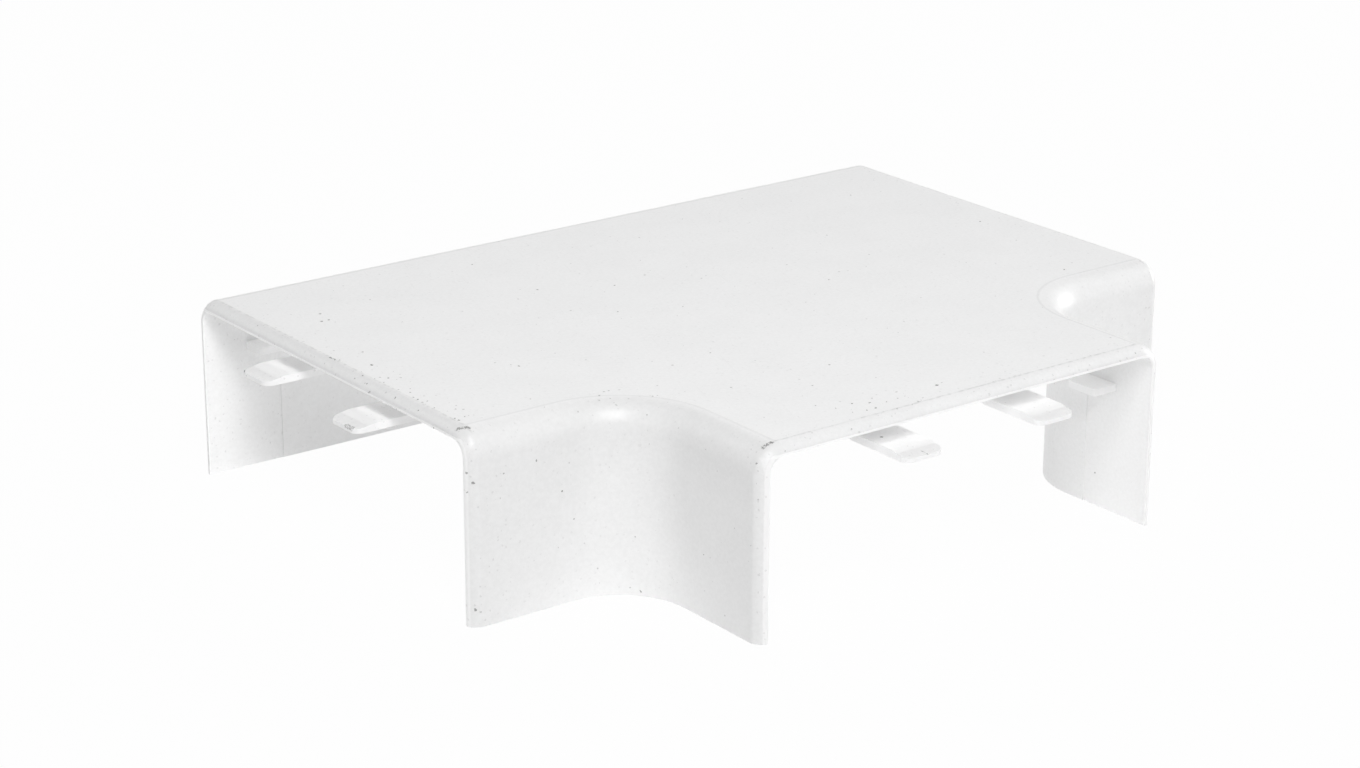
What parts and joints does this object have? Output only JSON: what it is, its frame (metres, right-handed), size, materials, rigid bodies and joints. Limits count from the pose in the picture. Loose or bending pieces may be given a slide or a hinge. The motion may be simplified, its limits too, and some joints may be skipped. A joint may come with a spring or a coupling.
{
  "type": "trunking tee fitting",
  "caption": "Flat tee cover for surface cable trunking: shallow open-backed T with swept inner corners, and gripping tongues and side fins at each open end.",
  "frame": {"origin": "middle of the overall footprint, tongues included, on the plane of the wall it is fixed to", "axes": "+X along the run, -Y towards the branch opening, +Z out of the wall"},
  "size_m": [0.1158, 0.0888, 0.0236],
  "materials": {
    "white_plastic": "satin white moulding with a very fine grain"
  },
  "bodies": {
    "root": {"tee_cover": "white_plastic"}
  },
  "joints": []
}
